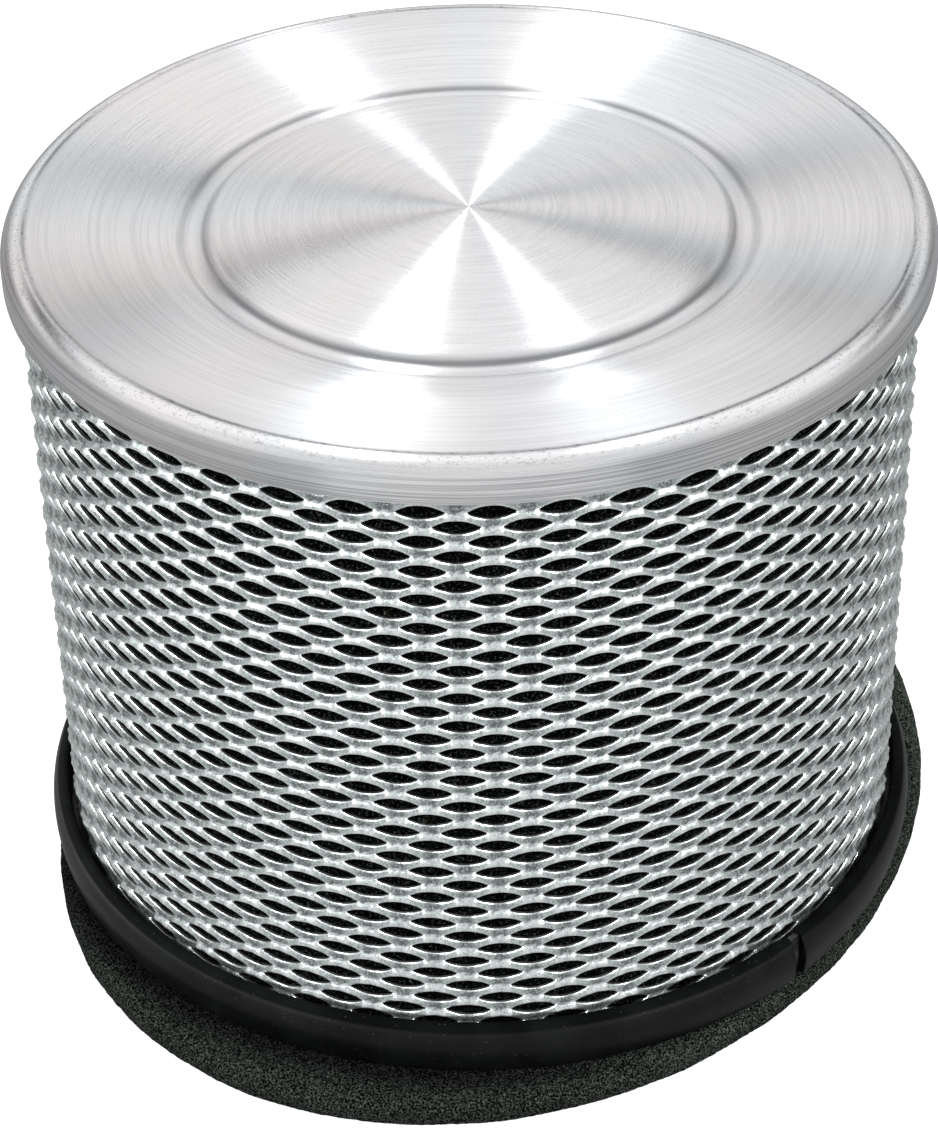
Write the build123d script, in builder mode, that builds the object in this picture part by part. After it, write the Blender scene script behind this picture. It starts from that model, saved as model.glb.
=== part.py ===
from build123d import *
import math
import os

# Drum air filter for a motorcycle air box: a bonded element with a spun cap,
# an expanded-metal sleeve, foam and pleated paper layers, a stamped base pan
# and an oval foam sealing pad.
#
# Frame: the drum stands on its sealing pad. +Z runs up the drum's axis, z = 0 is
# the underside of the pad, and the origin is on the drum's axis. -Y is the front.
# Lengths are in millimetres. Azimuths are in degrees from +X towards +Y.
# Revolved sections are drawn in (radius, z).

# --------------------------------------------------------- shared dimensions
# sealing pad and its adhesive
z_pad_top = 4.6            # thickness of the foam pad
t_adhesive = 0.2           # film between pad and pan

# base pan
z_pan_under = z_pad_top + t_adhesive
sheet_pan = 0.9
z_pan_floor = z_pan_under + sheet_pan
z_pan_rim = 12.4           # top edge of the outer wall
r_outlet = 41.0            # inside of the outlet collar and of the pad's opening
r_collar_out = r_outlet + sheet_pan
r_pan_out = 70.8
r_pan_in = r_pan_out - sheet_pan

# cap
z_top = 116.2              # highest point of the cap
r_cap = 71.2               # outside of the skirt
sheet_cap = 1.2

# channels in the two adhesive rings, between which the layers stand
r_channel_out, r_channel_in = 69.4, 44.9
z_seat = 7.8               # bottom of the base ring's channel
z_cap_seat = 112.4         # ceiling of the cap ring's channel
layer_gap = 0.05           # clearance at each end of the layers
z_layers_foot = z_seat + layer_gap
layer_height = z_cap_seat - layer_gap - z_layers_foot

os.makedirs("parts", exist_ok=True)


# ------------------------------------------------------------------- helpers
def finish(builder, name):
    """Label one finished piece and write it to its own file."""
    builder.part.label = name
    export_step(builder.part, f"parts/{name}.step", write_pcurves=False)


def on_circle(radius, azimuth, across=0.0):
    """A point at a radius and azimuth, moved across the radius by a length."""
    a = math.radians(azimuth)
    return (
        radius * math.cos(a) - across * math.sin(a),
        radius * math.sin(a) + across * math.cos(a),
    )


def revolved_ring(section):
    """A ring with a straight-sided section."""
    with BuildPart() as ring:
        with BuildSketch(Plane.XZ):
            with BuildLine():
                Polyline(*section, close=True)
            make_face()
        revolve(axis=Axis.Z)
    return ring


def expanded_tube(radius, sheet, n_round, rows, z_row_0, row_rise, open_share, azimuth=0):
    """A tube of expanded metal as tall as the layers.

    It is a prism with two sides to each diamond, so that it bends at every
    diamond's middle. Odd rows are staggered by half a diamond. row_rise is the
    height from one row to the next, negative when rows are counted downwards.
    open_share is open length over pitch, both round the tube and up it.
    """
    cutter_reach = 4  # how far a cutter extends to each side of the sheet
    half_width = math.pi * radius / n_round * open_share
    half_height = abs(row_rise) * open_share
    with BuildPart() as diamond:
        with BuildSketch(Plane.YZ.offset(radius - cutter_reach)):
            with BuildLine():
                Polyline(
                    (-half_width, 0),
                    (0, half_height),
                    (half_width, 0),
                    (0, -half_height),
                    close=True,
                )
            make_face()
        extrude(amount=2 * cutter_reach)

    places = [
        Location(
            (0, 0, z_row_0 + row_rise * row),
            (0, 0, azimuth + 360.0 / n_round * (k + 0.5 * (row % 2))),
        )
        for row in rows
        for k in range(n_round)
    ]
    with BuildPart() as tube:
        with BuildSketch(Plane.XY.offset(z_layers_foot)):
            RegularPolygon(radius, 2 * n_round, rotation=azimuth)
            RegularPolygon(radius - sheet, 2 * n_round, rotation=azimuth, mode=Mode.SUBTRACT)
        extrude(amount=layer_height)
        with Locations(*places):
            add(diamond.part, mode=Mode.SUBTRACT, clean=False)
    return tube


# ------------------------------------------------------------------- top cap
# One sheet, spun: a domed disc, a shallow pressed groove, a dished annulus, a
# rounded shoulder and a short straight skirt with rounded lower edges.
z_skirt = 109.9            # lower edge of the skirt
r_rim_bend = 3.3           # outside bend radius between top and skirt
r_top_edge = r_cap - r_rim_bend
z_bend_foot = z_top - r_rim_bend
r_cap_in = r_cap - sheet_cap
r_skirt_edge = 0.35        # rounding of the skirt's lower edges
disc_edge = (38.6, 114.75)
floor_start, floor_end = (41.6, 113.0), (42.9, 113.0)
annulus_start = (45.6, 114.15)

# directions in which the runs meet
level, falling, rising = (1, 0), (1, -0.12), (1, 0.12)

# upper surface from the axis outwards: section points of each run and its end
# tangents, or None for a straight line
cap_top_runs = [
    # domed disc
    (
        [(0, z_top), (14, z_top - 0.12), (26, z_top - 0.55), (35, 115.12), disc_edge],
        (level, falling),
    ),
    # groove: inner wall, floor and outer wall
    ([disc_edge, (39.8, 114.3), (40.6, 113.35), floor_start], (falling, level)),
    ([floor_start, floor_end], None),
    ([floor_end, (43.9, 113.25), (44.6, 113.8), annulus_start], (level, rising)),
    # dished annulus
    (
        [annulus_start, (50, 114.75), (56, 115.5), (62, 116.0), (r_top_edge, z_top)],
        (rising, level),
    ),
]


def draw_cap_surface(drop):
    """Draw the upper surface, lowered by drop, in the current BuildLine."""
    for points, tangents in cap_top_runs:
        lowered = [(r, z - drop) for r, z in points]
        if tangents:
            Spline(*lowered, tangents=tangents)
        else:
            Line(*lowered)


with BuildPart() as top_cap:
    with BuildSketch(Plane.XZ):
        with BuildLine():
            draw_cap_surface(drop=0.0)
            RadiusArc((r_top_edge, z_top), (r_cap, z_bend_foot), r_rim_bend)
            Polyline(
                (r_cap, z_bend_foot),
                (r_cap, z_skirt),
                (r_cap_in, z_skirt),
                (r_cap_in, z_bend_foot),
            )
            RadiusArc(
                (r_cap_in, z_bend_foot),
                (r_top_edge, z_top - sheet_cap),
                -(r_rim_bend - sheet_cap),
            )
            draw_cap_surface(drop=sheet_cap)
            Line((0, z_top - sheet_cap), (0, z_top))
        make_face()
    revolve(axis=Axis.Z)
    skirt_edges = top_cap.edges().filter_by(GeomType.CIRCLE).sort_by(Axis.Z)[:2]
    fillet(skirt_edges, radius=r_skirt_edge)
finish(top_cap, "top_cap")

# --------------------------------------------------------------- cap potting
# Ring of set adhesive under the cap, with a lip to each side of its channel.
z_lips = 110.4             # lower edges of both lips
r_cap_potting_out, r_cap_potting_in = 69.9, 44.2

cap_potting_section = [
    # inner lip, then the upper side outwards
    (r_cap_potting_in, z_lips), (r_cap_potting_in, 112.0), (45.1, 112.65),
    (46.5, 112.98), (50.0, 113.45), (56.0, 114.2), (62.0, 114.7), (67.8, 114.9),
    (69.2, 114.3), (r_cap_potting_out, 112.8),
    # outer lip and the channel
    (r_cap_potting_out, z_lips), (r_channel_out, z_lips), (r_channel_out, z_cap_seat),
    (r_channel_in, z_cap_seat), (r_channel_in, z_lips),
]
finish(revolved_ring(cap_potting_section), "cap_potting")

# -------------------------------------------------------------- outer screen
# Expanded-metal sleeve. Both ends are plain selvedge, buried in adhesive.
outer_screen = expanded_tube(
    radius=69.2,
    sheet=0.9,
    n_round=43,
    rows=range(-9, 31),
    z_row_0=86.82,
    row_rise=-2.492,
    open_share=0.71,
    azimuth=-88.014,
)
finish(outer_screen, "outer_screen")

# ----------------------------------------------------------------- foam wrap
# Open-cell foam sheet wrapped once round the paper, butt-jointed at the back.
r_foam_out, r_foam_in = 67.3, 61.6
t_foam = r_foam_out - r_foam_in
foam_joint = (0, (r_foam_out + r_foam_in) / 2)
foam_slit = 0.4            # gap at the joint

with BuildPart() as foam_wrap:
    with BuildSketch(Plane.XY.offset(z_layers_foot)):
        Circle(r_foam_out)
        Circle(r_foam_in, mode=Mode.SUBTRACT)
        with Locations(foam_joint):
            Rectangle(foam_slit, 2 * t_foam, mode=Mode.SUBTRACT)
    extrude(amount=layer_height)
finish(foam_wrap, "foam_wrap")

# ------------------------------------------------------------ foam wrap seam
# Bead of adhesive in the wrap's butt joint.
t_foam_seam = 0.3
seam_inset = 0.1           # from each face of the foam

with BuildPart() as foam_wrap_seam:
    with BuildSketch(Plane.XY.offset(z_layers_foot)):
        with Locations(foam_joint):
            Rectangle(t_foam_seam, t_foam - 2 * seam_inset)
    extrude(amount=layer_height)
finish(foam_wrap_seam, "foam_wrap_seam")

# ------------------------------------------------------------- pleated media
# Paper folded into radial pleats and closed into a ring.
n_pleats = 84
pleat = 360.0 / n_pleats
r_pleat_out, r_pleat_in = 61.0, 47.0
t_fold = 0.85              # radial thickness at the folds
half_fold_out = 0.75       # half width of an outer fold
half_fold_in = half_fold_out - 0.05  # half width of an inner fold
half_hollow = 0.25         # half width of the hollow in either fold


def pleat_line(r_crest, half_crest, r_valley, half_valley):
    """Closed zigzag with flat crests and, half a pleat on, flat valleys."""
    points = []
    for k in range(n_pleats):
        crest = k * pleat
        valley = crest + pleat / 2
        points += [
            on_circle(r_crest, crest, -half_crest),
            on_circle(r_crest, crest, half_crest),
            on_circle(r_valley, valley, -half_valley),
            on_circle(r_valley, valley, half_valley),
        ]
    return points


outer_line = pleat_line(r_pleat_out, half_fold_out, r_pleat_in + t_fold, half_hollow)
inner_line = pleat_line(r_pleat_out - t_fold, half_hollow, r_pleat_in, half_fold_in)
with BuildPart() as pleated_media:
    with BuildSketch(Plane.XY.offset(z_layers_foot)):
        with BuildLine():
            Polyline(*outer_line, close=True)
        make_face()
        with BuildLine():
            Polyline(*inner_line, close=True)
        make_face(mode=Mode.SUBTRACT)
    extrude(amount=layer_height)
finish(pleated_media, "pleated_media")

# ----------------------------------------------------------- media seam clip
# Folded tinplate strip crimped over the pleat that holds the paper's two ends.
clip_azimuth = 21 * pleat
clip_gap = 0.06            # between paper and clip
sheet_clip = 0.35
clip_depth = 5.5           # from the inside of the fold to the clip's mouth
clip_splay = clip_depth * 0.09  # widening of each side at the mouth
clip_inset = 0.35          # from each end of the paper

half_clip_in = half_fold_out + clip_gap
half_clip_out = half_clip_in + sheet_clip
r_clip_in = r_pleat_out + clip_gap
r_clip_out = r_clip_in + sheet_clip
r_mouth = r_clip_in - clip_depth

# section as (radius, length across the pleat): inner skin, then outer skin
clip_section = [
    (r_mouth, -half_clip_in - clip_splay),
    (r_clip_in, -half_clip_in),
    (r_clip_in, half_clip_in),
    (r_mouth, half_clip_in + clip_splay),
    (r_mouth, half_clip_out + clip_splay),
    (r_clip_out, half_clip_out),
    (r_clip_out, -half_clip_out),
    (r_mouth, -half_clip_out - clip_splay),
]
clip_points = [on_circle(radius, clip_azimuth, across) for radius, across in clip_section]
with BuildPart() as media_seam_clip:
    with BuildSketch(Plane.XY.offset(z_layers_foot + clip_inset)):
        with BuildLine():
            Polyline(*clip_points, close=True)
        make_face()
    extrude(amount=layer_height - 2 * clip_inset)
finish(media_seam_clip, "media_seam_clip")

# ---------------------------------------------------------------- inner core
# Expanded steel tube, coarser than the outer sleeve, that keeps the pleats from
# being drawn inwards.
inner_core = expanded_tube(
    radius=46.1,
    sheet=0.8,
    n_round=16,
    rows=range(22),
    z_row_0=12.9,
    row_rise=4.5,
    open_share=0.66,
)
finish(inner_core, "inner_core")

# ------------------------------------------------------------------ base pan
# Stamped annular pan: upturned outlet collar, flat floor, upturned outer wall.
z_collar_top = 13.0
r_pan_bend_out, r_pan_bend_in = 1.4, 0.5  # bends on the underside and the inside

with BuildPart() as base_pan:
    with BuildSketch(Plane.XZ):
        with BuildLine():
            Polyline(
                (r_outlet, z_collar_top),
                (r_outlet, z_pan_under),
                (r_pan_out, z_pan_under),
                (r_pan_out, z_pan_rim),
                (r_pan_in, z_pan_rim),
                (r_pan_in, z_pan_floor),
                (r_collar_out, z_pan_floor),
                (r_collar_out, z_collar_top),
                close=True,
            )
        make_face()
    revolve(axis=Axis.Z)
    under_edges = base_pan.edges().filter_by(GeomType.CIRCLE).group_by(Axis.Z)[0]
    fillet(under_edges, radius=r_pan_bend_out)
    floor_edges = (
        base_pan.edges()
        .filter_by(GeomType.CIRCLE)
        .filter_by(lambda e: abs(e.center().Z - z_pan_floor) < 1e-3)
    )
    fillet(floor_edges, radius=r_pan_bend_in)
finish(base_pan, "base_pan")

# -------------------------------------------------------------- base potting
# Ring of set adhesive in the pan; the layers stand in its channel.
pan_gap = 0.05             # between adhesive and pan
corner_inset = 0.6         # from the pan's walls to the flat underside
z_corner = 6.3             # top of the bevelled lower corners
z_fill_out, z_fill_in = 10.8, 10.0  # levels outside and inside the channel
r_fill_out = r_pan_in - pan_gap
r_fill_in = r_collar_out + pan_gap

base_potting_section = [
    (r_fill_in, z_corner),
    (r_collar_out + corner_inset, z_pan_floor + pan_gap),
    (r_pan_in - corner_inset, z_pan_floor + pan_gap),
    (r_fill_out, z_corner),
    (r_fill_out, z_fill_out),
    (r_channel_out, z_fill_out),
    (r_channel_out, z_seat),
    (r_channel_in, z_seat),
    (r_channel_in, z_fill_in),
    (r_fill_in, z_fill_in),
]
finish(revolved_ring(base_potting_section), "base_potting")

# ----------------------------------------------------------------- base band
# Edge trim: one strip of hooked section pushed over the pan's wall and bent
# round it, its ends a little apart at the front right.
trim_gap = 0.1             # between trim and pan
r_band_bore = r_pan_out + trim_gap
z_band_foot = 4.9
z_band_top = 13.05
foot_edge = (71.75, z_band_foot)
shoulder = (71.75, 12.5)   # where the bulging side meets the rounded top
crown = (70.4, z_band_top)
shoulder_tangent = (-0.7, 1)
r_hook = 69.8              # hook's face towards the pan's wall
z_hook = 11.2              # lower end of the hook inside the pan
band_gap = 2.2             # open butt joint
az_band_gap = -47.0
gap_centre = on_circle(71, az_band_gap) + (9.0,)

with BuildPart() as base_band:
    with BuildSketch(Plane.XZ):
        with BuildLine():
            Line((r_band_bore, z_band_foot), foot_edge)
            Spline(
                foot_edge,
                (72.2, 6.8),
                (72.35, 9.2),
                (72.2, 11.4),
                shoulder,
                tangents=((0.6, 1), shoulder_tangent),
            )
            Spline(shoulder, (71.2, 12.95), crown, tangents=(shoulder_tangent, (-1, 0)))
            Polyline(
                crown,
                (69.5, z_band_top - 0.1),
                (69.3, 12.6),
                (69.3, z_hook),
                (r_hook, z_hook),
                (r_hook, z_pan_rim + trim_gap),
                (r_band_bore, z_pan_rim + trim_gap),
                (r_band_bore, z_band_foot),
            )
        make_face()
    revolve(axis=Axis.Z)
    with Locations(Location(gap_centre, (0, 0, az_band_gap))):
        Box(8, band_gap, 12, mode=Mode.SUBTRACT)
finish(base_band, "base_band")

# ----------------------------------------------------------- gasket adhesive
# Film of contact adhesive between pan and pad.
r_film_out, r_film_in = 69.2, 43.0

with BuildPart() as gasket_adhesive:
    with BuildSketch(Plane.XY.offset(z_pad_top)):
        Circle(r_film_out)
        Circle(r_film_in, mode=Mode.SUBTRACT)
    extrude(amount=t_adhesive)
finish(gasket_adhesive, "gasket_adhesive")

# --------------------------------------------------------------- foam gasket
# Open-cell foam pad, oval in plan and wider than the drum, with a round opening
# under the outlet collar.
pad_semi_major, pad_semi_minor = 84.2, 71.0
pad_centre = (2.7, 2.9)
pad_turn = 64.1            # azimuth of the long axis
pad_round_top, pad_round_bottom = 1.8, 1.0
min_oval_span = 120        # in X: more than the opening's edges, less than the oval's

with BuildPart() as foam_gasket:
    with BuildSketch(Plane.XY):
        with Locations(Location(pad_centre, pad_turn)):
            Ellipse(pad_semi_major, pad_semi_minor)
        Circle(r_outlet, mode=Mode.SUBTRACT)
    extrude(amount=z_pad_top)
    # the top edge first, then the bottom edge
    for end, radius in ((-1, pad_round_top), (0, pad_round_bottom)):
        oval_edges = foam_gasket.edges().filter_by(
            lambda e: e.bounding_box().size.X > min_oval_span
        )
        fillet(oval_edges.sort_by(Axis.Z)[end], radius=radius)
finish(foam_gasket, "foam_gasket")
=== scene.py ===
"""A round filter cartridge standing upright on an oval foam pad.

The drum's axis is Z and the pad's underside is at z = 0. The camera looks from the
front (-Y), with +X on its right. Pieces are drawn in millimetres and stored in metres.
The spun cap, mesh sleeve, edge trim and foam pad are modelled here; the other pieces
are the CAD's own and only get materials.
"""

import math

import bmesh
import bpy
import numpy as np
from mathutils import Matrix, Vector, noise


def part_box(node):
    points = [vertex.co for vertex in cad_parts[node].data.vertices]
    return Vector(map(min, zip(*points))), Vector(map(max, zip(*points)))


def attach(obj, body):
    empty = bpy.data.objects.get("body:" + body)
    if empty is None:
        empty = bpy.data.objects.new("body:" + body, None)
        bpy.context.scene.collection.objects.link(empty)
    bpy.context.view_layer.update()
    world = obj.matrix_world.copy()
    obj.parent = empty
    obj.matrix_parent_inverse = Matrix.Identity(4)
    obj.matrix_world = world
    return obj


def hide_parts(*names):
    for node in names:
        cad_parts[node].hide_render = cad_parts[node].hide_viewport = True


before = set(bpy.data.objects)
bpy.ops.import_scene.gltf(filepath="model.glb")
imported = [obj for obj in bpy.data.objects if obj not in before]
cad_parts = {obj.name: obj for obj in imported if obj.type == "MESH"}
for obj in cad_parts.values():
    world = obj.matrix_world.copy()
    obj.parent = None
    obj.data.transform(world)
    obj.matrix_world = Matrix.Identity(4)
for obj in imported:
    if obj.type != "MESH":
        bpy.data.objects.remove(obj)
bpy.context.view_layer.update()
MM = 0.001
TAU = 2 * math.pi


# ---------------------------------------------------------------- mesh tools
def add_object(name, data):
    ob = bpy.data.objects.new(name, data)
    bpy.context.scene.collection.objects.link(ob)
    return ob


def weld_mesh(me, join_mm, degenerate_mm):
    """Join coincident points, drop collapsed faces and point the normals outwards."""
    bm = bmesh.new()
    bm.from_mesh(me)
    bmesh.ops.remove_doubles(bm, verts=bm.verts, dist=join_mm * MM)
    bmesh.ops.dissolve_degenerate(bm, dist=degenerate_mm * MM, edges=bm.edges)
    bmesh.ops.recalc_face_normals(bm, faces=bm.faces)
    bm.to_mesh(me)
    bm.free()


def shade_smooth(me, sharp=None):
    """Smooth shading, with edges over `sharp` degrees kept crisp."""
    me.polygons.foreach_set("use_smooth", [True] * len(me.polygons))
    if sharp is not None:
        me.set_sharp_from_angle(angle=math.radians(sharp))


def mesh_object(name, verts_mm, faces, sharp=None):
    """A welded, smooth object at the origin, from vertices in millimetres."""
    me = bpy.data.meshes.new(name)
    me.from_pydata((np.asarray(verts_mm, float) * MM).tolist(), [], faces)
    me.validate()
    weld_mesh(me, join_mm=1e-4, degenerate_mm=1e-4)
    shade_smooth(me, sharp)
    me.update()
    return add_object(name, me)


def lathe(name, profile, segments, start=0.0, arc=360.0, closed=True, sharp=None, warp=None):
    """Turn a section of (radius, z) points, in mm, about Z.

    An arc under 360 degrees leaves a gap and caps both ends. A closed section joins
    its last point to its first. warp(points) may move the finished points.
    """
    profile = np.asarray(profile, float)
    full = abs(arc - 360.0) < 1e-6
    rings = segments if full else segments + 1
    azimuth = np.radians(start + arc * np.arange(rings) / segments)
    count = len(profile)
    points = np.empty((rings, count, 3))
    points[:, :, 0] = np.cos(azimuth)[:, None] * profile[None, :, 0]
    points[:, :, 1] = np.sin(azimuth)[:, None] * profile[None, :, 0]
    points[:, :, 2] = profile[None, :, 1]
    if warp is not None:
        points = warp(points)
    faces = []
    for i in range(segments):
        here, there = i * count, ((i + 1) % rings) * count
        for k in range(count if closed else count - 1):
            k2 = (k + 1) % count
            faces.append((here + k, there + k, there + k2, here + k2))
    if not full:
        faces.append(tuple(reversed(range(count))))
        last = (rings - 1) * count
        faces.append(tuple(last + k for k in range(count)))
    return mesh_object(name, points.reshape(-1, 3), faces, sharp)


def spline(points, steps):
    """Catmull-Rom points through the given (radius, z) points."""
    knots = np.asarray(points, float)
    knots = np.vstack([2 * knots[0] - knots[1], knots, 2 * knots[-1] - knots[-2]])
    curve = []
    for i in range(1, len(knots) - 2):
        before, start, end, after = knots[i - 1 : i + 3]
        for t in np.linspace(0, 1, steps, endpoint=False):
            curve.append(
                0.5
                * (
                    2 * start
                    + (end - before) * t
                    + (2 * before - 5 * start + 4 * end - after) * t * t
                    + (3 * start - before - 3 * end + after) * t**3
                )
            )
    curve.append(knots[-2])
    return [tuple(point) for point in curve]


# ------------------------------------------------------------ material tools
class Graph:
    """Short ways to add nodes to a shader tree."""

    def __init__(self, tree):
        self.tree = tree
        self.tree.nodes.clear()
        self.position = None

    def node(self, kind, **attrs):
        new = self.tree.nodes.new(kind)
        for key, value in attrs.items():
            setattr(new, key, value)
        return new

    def link(self, output, socket):
        self.tree.links.new(output, socket)

    def put(self, socket, value):
        """Link a socket, or set a number, to an input; colours are given as RGB."""
        if hasattr(value, "is_linked"):
            self.link(value, socket)
        else:
            socket.default_value = (*value, 1.0) if socket.type == "RGBA" else value

    def fill(self, node, **values):
        """Put values in a node's inputs; an underscore stands for a space."""
        for key, value in values.items():
            self.put(node.inputs[key.replace("_", " ")], value)

    def math(self, op, *values, clamp=False):
        new = self.node("ShaderNodeMath", operation=op, use_clamp=clamp)
        for socket, value in zip(new.inputs, values):
            self.put(socket, value)
        return new.outputs[0]

    def chain(self, op, total, *others):
        for other in others:
            total = self.math(op, total, other)
        return total

    def add(self, *values):
        return self.chain("ADD", *values)

    def mul(self, *values):
        return self.chain("MULTIPLY", *values)

    def weighted(self, *pairs):
        """Sum of (value, weight) pairs."""
        return self.add(*(self.mul(value, weight) for value, weight in pairs))

    def mix(self, amount, first, second, blend="MIX"):
        new = self.node("ShaderNodeMix", data_type="RGBA", blend_type=blend)
        for index, value in ((0, amount), (6, first), (7, second)):
            self.put(new.inputs[index], value)
        return new.outputs[2]

    def lerp(self, amount, first, second):
        new = self.node("ShaderNodeMix", data_type="FLOAT")
        for index, value in ((0, amount), (2, first), (3, second)):
            self.put(new.inputs[index], value)
        return new.outputs[0]

    def step(self, value, edges, levels=(0.0, 1.0)):
        """Smooth step from levels[0] at edges[0] to levels[1] at edges[1]."""
        new = self.node("ShaderNodeMapRange", interpolation_type="SMOOTHSTEP")
        for socket, number in zip(new.inputs, (value, *edges, *levels)):
            self.put(socket, number)
        return new.outputs[0]

    def bell(self, value, centre, width):
        """A bell curve, 1 at the centre."""
        offset = self.math("DIVIDE", self.math("SUBTRACT", value, centre), width)
        return self.math("EXPONENT", self.mul(offset, offset, -1.0))

    def ramp(self, value, stops):
        """Colour ramp through (position, RGB) stops."""
        new = self.node("ShaderNodeValToRGB")
        self.put(new.inputs[0], value)
        elements = new.color_ramp.elements
        while len(elements) < len(stops):
            elements.new(0.5)
        for element, (place, colour) in zip(elements, stops):
            element.position = place
            element.color = (*colour, 1.0)
        return new.outputs[0]

    def scale_vec(self, vector, factor):
        new = self.node("ShaderNodeVectorMath", operation="SCALE")
        self.put(new.inputs[0], vector)
        new.inputs[3].default_value = factor
        return new.outputs[0]

    def mm(self):
        """Object position in millimetres."""
        if self.position is None:
            coords = self.node("ShaderNodeTexCoord")
            self.position = self.scale_vec(coords.outputs["Object"], 1000.0)
        return self.position

    def xyz(self, vector):
        new = self.node("ShaderNodeSeparateXYZ")
        self.put(new.inputs[0], vector)
        return new.outputs

    def vec(self, *values):
        new = self.node("ShaderNodeCombineXYZ")
        for socket, value in zip(new.inputs, values):
            self.put(socket, value)
        return new.outputs[0]

    def stretch(self, axes, scales):
        """A vector of three values, each scaled by its own factor."""
        return self.vec(*(self.mul(axis, scale) for axis, scale in zip(axes, scales)))

    def noise(self, vector, scale=1.0, detail=2.0, rough=0.5, distortion=0.0, out=0):
        new = self.node("ShaderNodeTexNoise")
        self.fill(
            new, Vector=vector, Scale=scale, Detail=detail, Roughness=rough, Distortion=distortion
        )
        return new.outputs[out]

    def voronoi(self, vector, scale, feature="F1", out="Distance"):
        new = self.node("ShaderNodeTexVoronoi", feature=feature)
        self.fill(new, Vector=vector, Scale=scale)
        return new.outputs[out]

    def bump(self, height, strength, distance_mm):
        new = self.node("ShaderNodeBump")
        self.fill(new, Height=height, Strength=strength, Distance=distance_mm * MM)
        return new.outputs[0]

    def radius(self):
        """Distance from the axis, then x, y and z, in mm."""
        x, y, z = self.xyz(self.mm())
        return self.math("SQRT", self.add(self.mul(x, x), self.mul(y, y))), x, y, z

    def direction(self, axis, radius):
        """x or y over the radius: the cosine or sine of the azimuth."""
        return self.math("DIVIDE", axis, radius)

    def round_coords(self):
        """Distance from the axis, height, and the azimuth's cosine and sine."""
        radius, x, y, z = self.radius()
        safe = self.math("MAXIMUM", radius, 0.01)
        return radius, z, self.direction(x, safe), self.direction(y, safe)


class Material(Graph):
    """A procedural material: one Principled shader fed by nodes."""

    def __init__(self, name):
        self.material = bpy.data.materials.new(name)
        self.material.use_nodes = True
        super().__init__(self.material.node_tree)
        self.out = self.node("ShaderNodeOutputMaterial")
        self.bsdf = self.node("ShaderNodeBsdfPrincipled")
        self.link(self.bsdf.outputs[0], self.out.inputs[0])

    def set(self, **values):
        self.fill(self.bsdf, **values)
        return self.material


def assign(ob, material):
    ob.data.materials.clear()
    ob.data.materials.append(material)


def install(ob, material, piece):
    """Give a modelled object its material and its place in the frame."""
    assign(ob, material)
    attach(ob, "root")
    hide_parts(piece)


# ----------------------------------------------------------------- materials
def cap_shade_and_marks(mat, radius, z, cosine, sine, rings, broad):
    """How dark the cap's surface is, 0 to 1: painted shade on the pressed ring's walls and in the
    fine groove, and real brush marks and turning lines. Radii in mm match the cap's section.
    """
    # painted shade on both walls of the pressed ring: the inner one at the front, the outer at
    # the back
    inner_wall = mat.mul(
        mat.bell(radius, centre=40.5, width=0.50),
        mat.step(sine, edges=(0.35, -0.75), levels=(0.10, 0.85)),
    )
    outer_wall = mat.mul(
        mat.bell(radius, centre=43.75, width=0.50),
        mat.step(sine, edges=(-0.25, 0.80), levels=(0.12, 0.75)),
    )
    # painted shade in the fine groove just inside the shoulder
    groove = mat.mul(
        mat.bell(radius, centre=67.6, width=0.36),
        mat.step(rings(0.9, arc=3.0, detail=2.0), edges=(0.34, 0.62), levels=(0.22, 0.75)),
    )
    # small marks where the brush caught the shoulder
    mark_noise = mat.noise(
        mat.stretch((radius, cosine, sine), (2.2, 70.0, 70.0)), detail=3.0, rough=0.8
    )
    on_shoulder = mat.mul(
        mat.step(radius, edges=(66.6, 67.6)), mat.step(radius, edges=(70.6, 69.4))
    )
    marks = mat.mul(mat.step(mark_noise, edges=(0.54, 0.64)), on_shoulder)
    # turning lines round the skirt
    skirt = mat.step(radius, edges=(70.4, 71.0))
    lines = mat.noise(mat.stretch((z, cosine, sine), (3.6, 0.7, 0.7)), detail=3.0, rough=0.7)
    # the sum is painted shade on the ring's walls and in the groove, plus real marks and turning
    # lines
    tone_mix = mat.add(
        inner_wall,
        outer_wall,
        groove,
        mat.mul(marks, 0.42),
        mat.mul(skirt, mat.step(lines, edges=(0.56, 0.40), levels=(0.0, 0.52))),
    )
    patchy = mat.step(broad, edges=(0.15, 0.6), levels=(0.75, 1.0))
    return mat.math("MULTIPLY", tone_mix, patchy, clamp=True)


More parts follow.
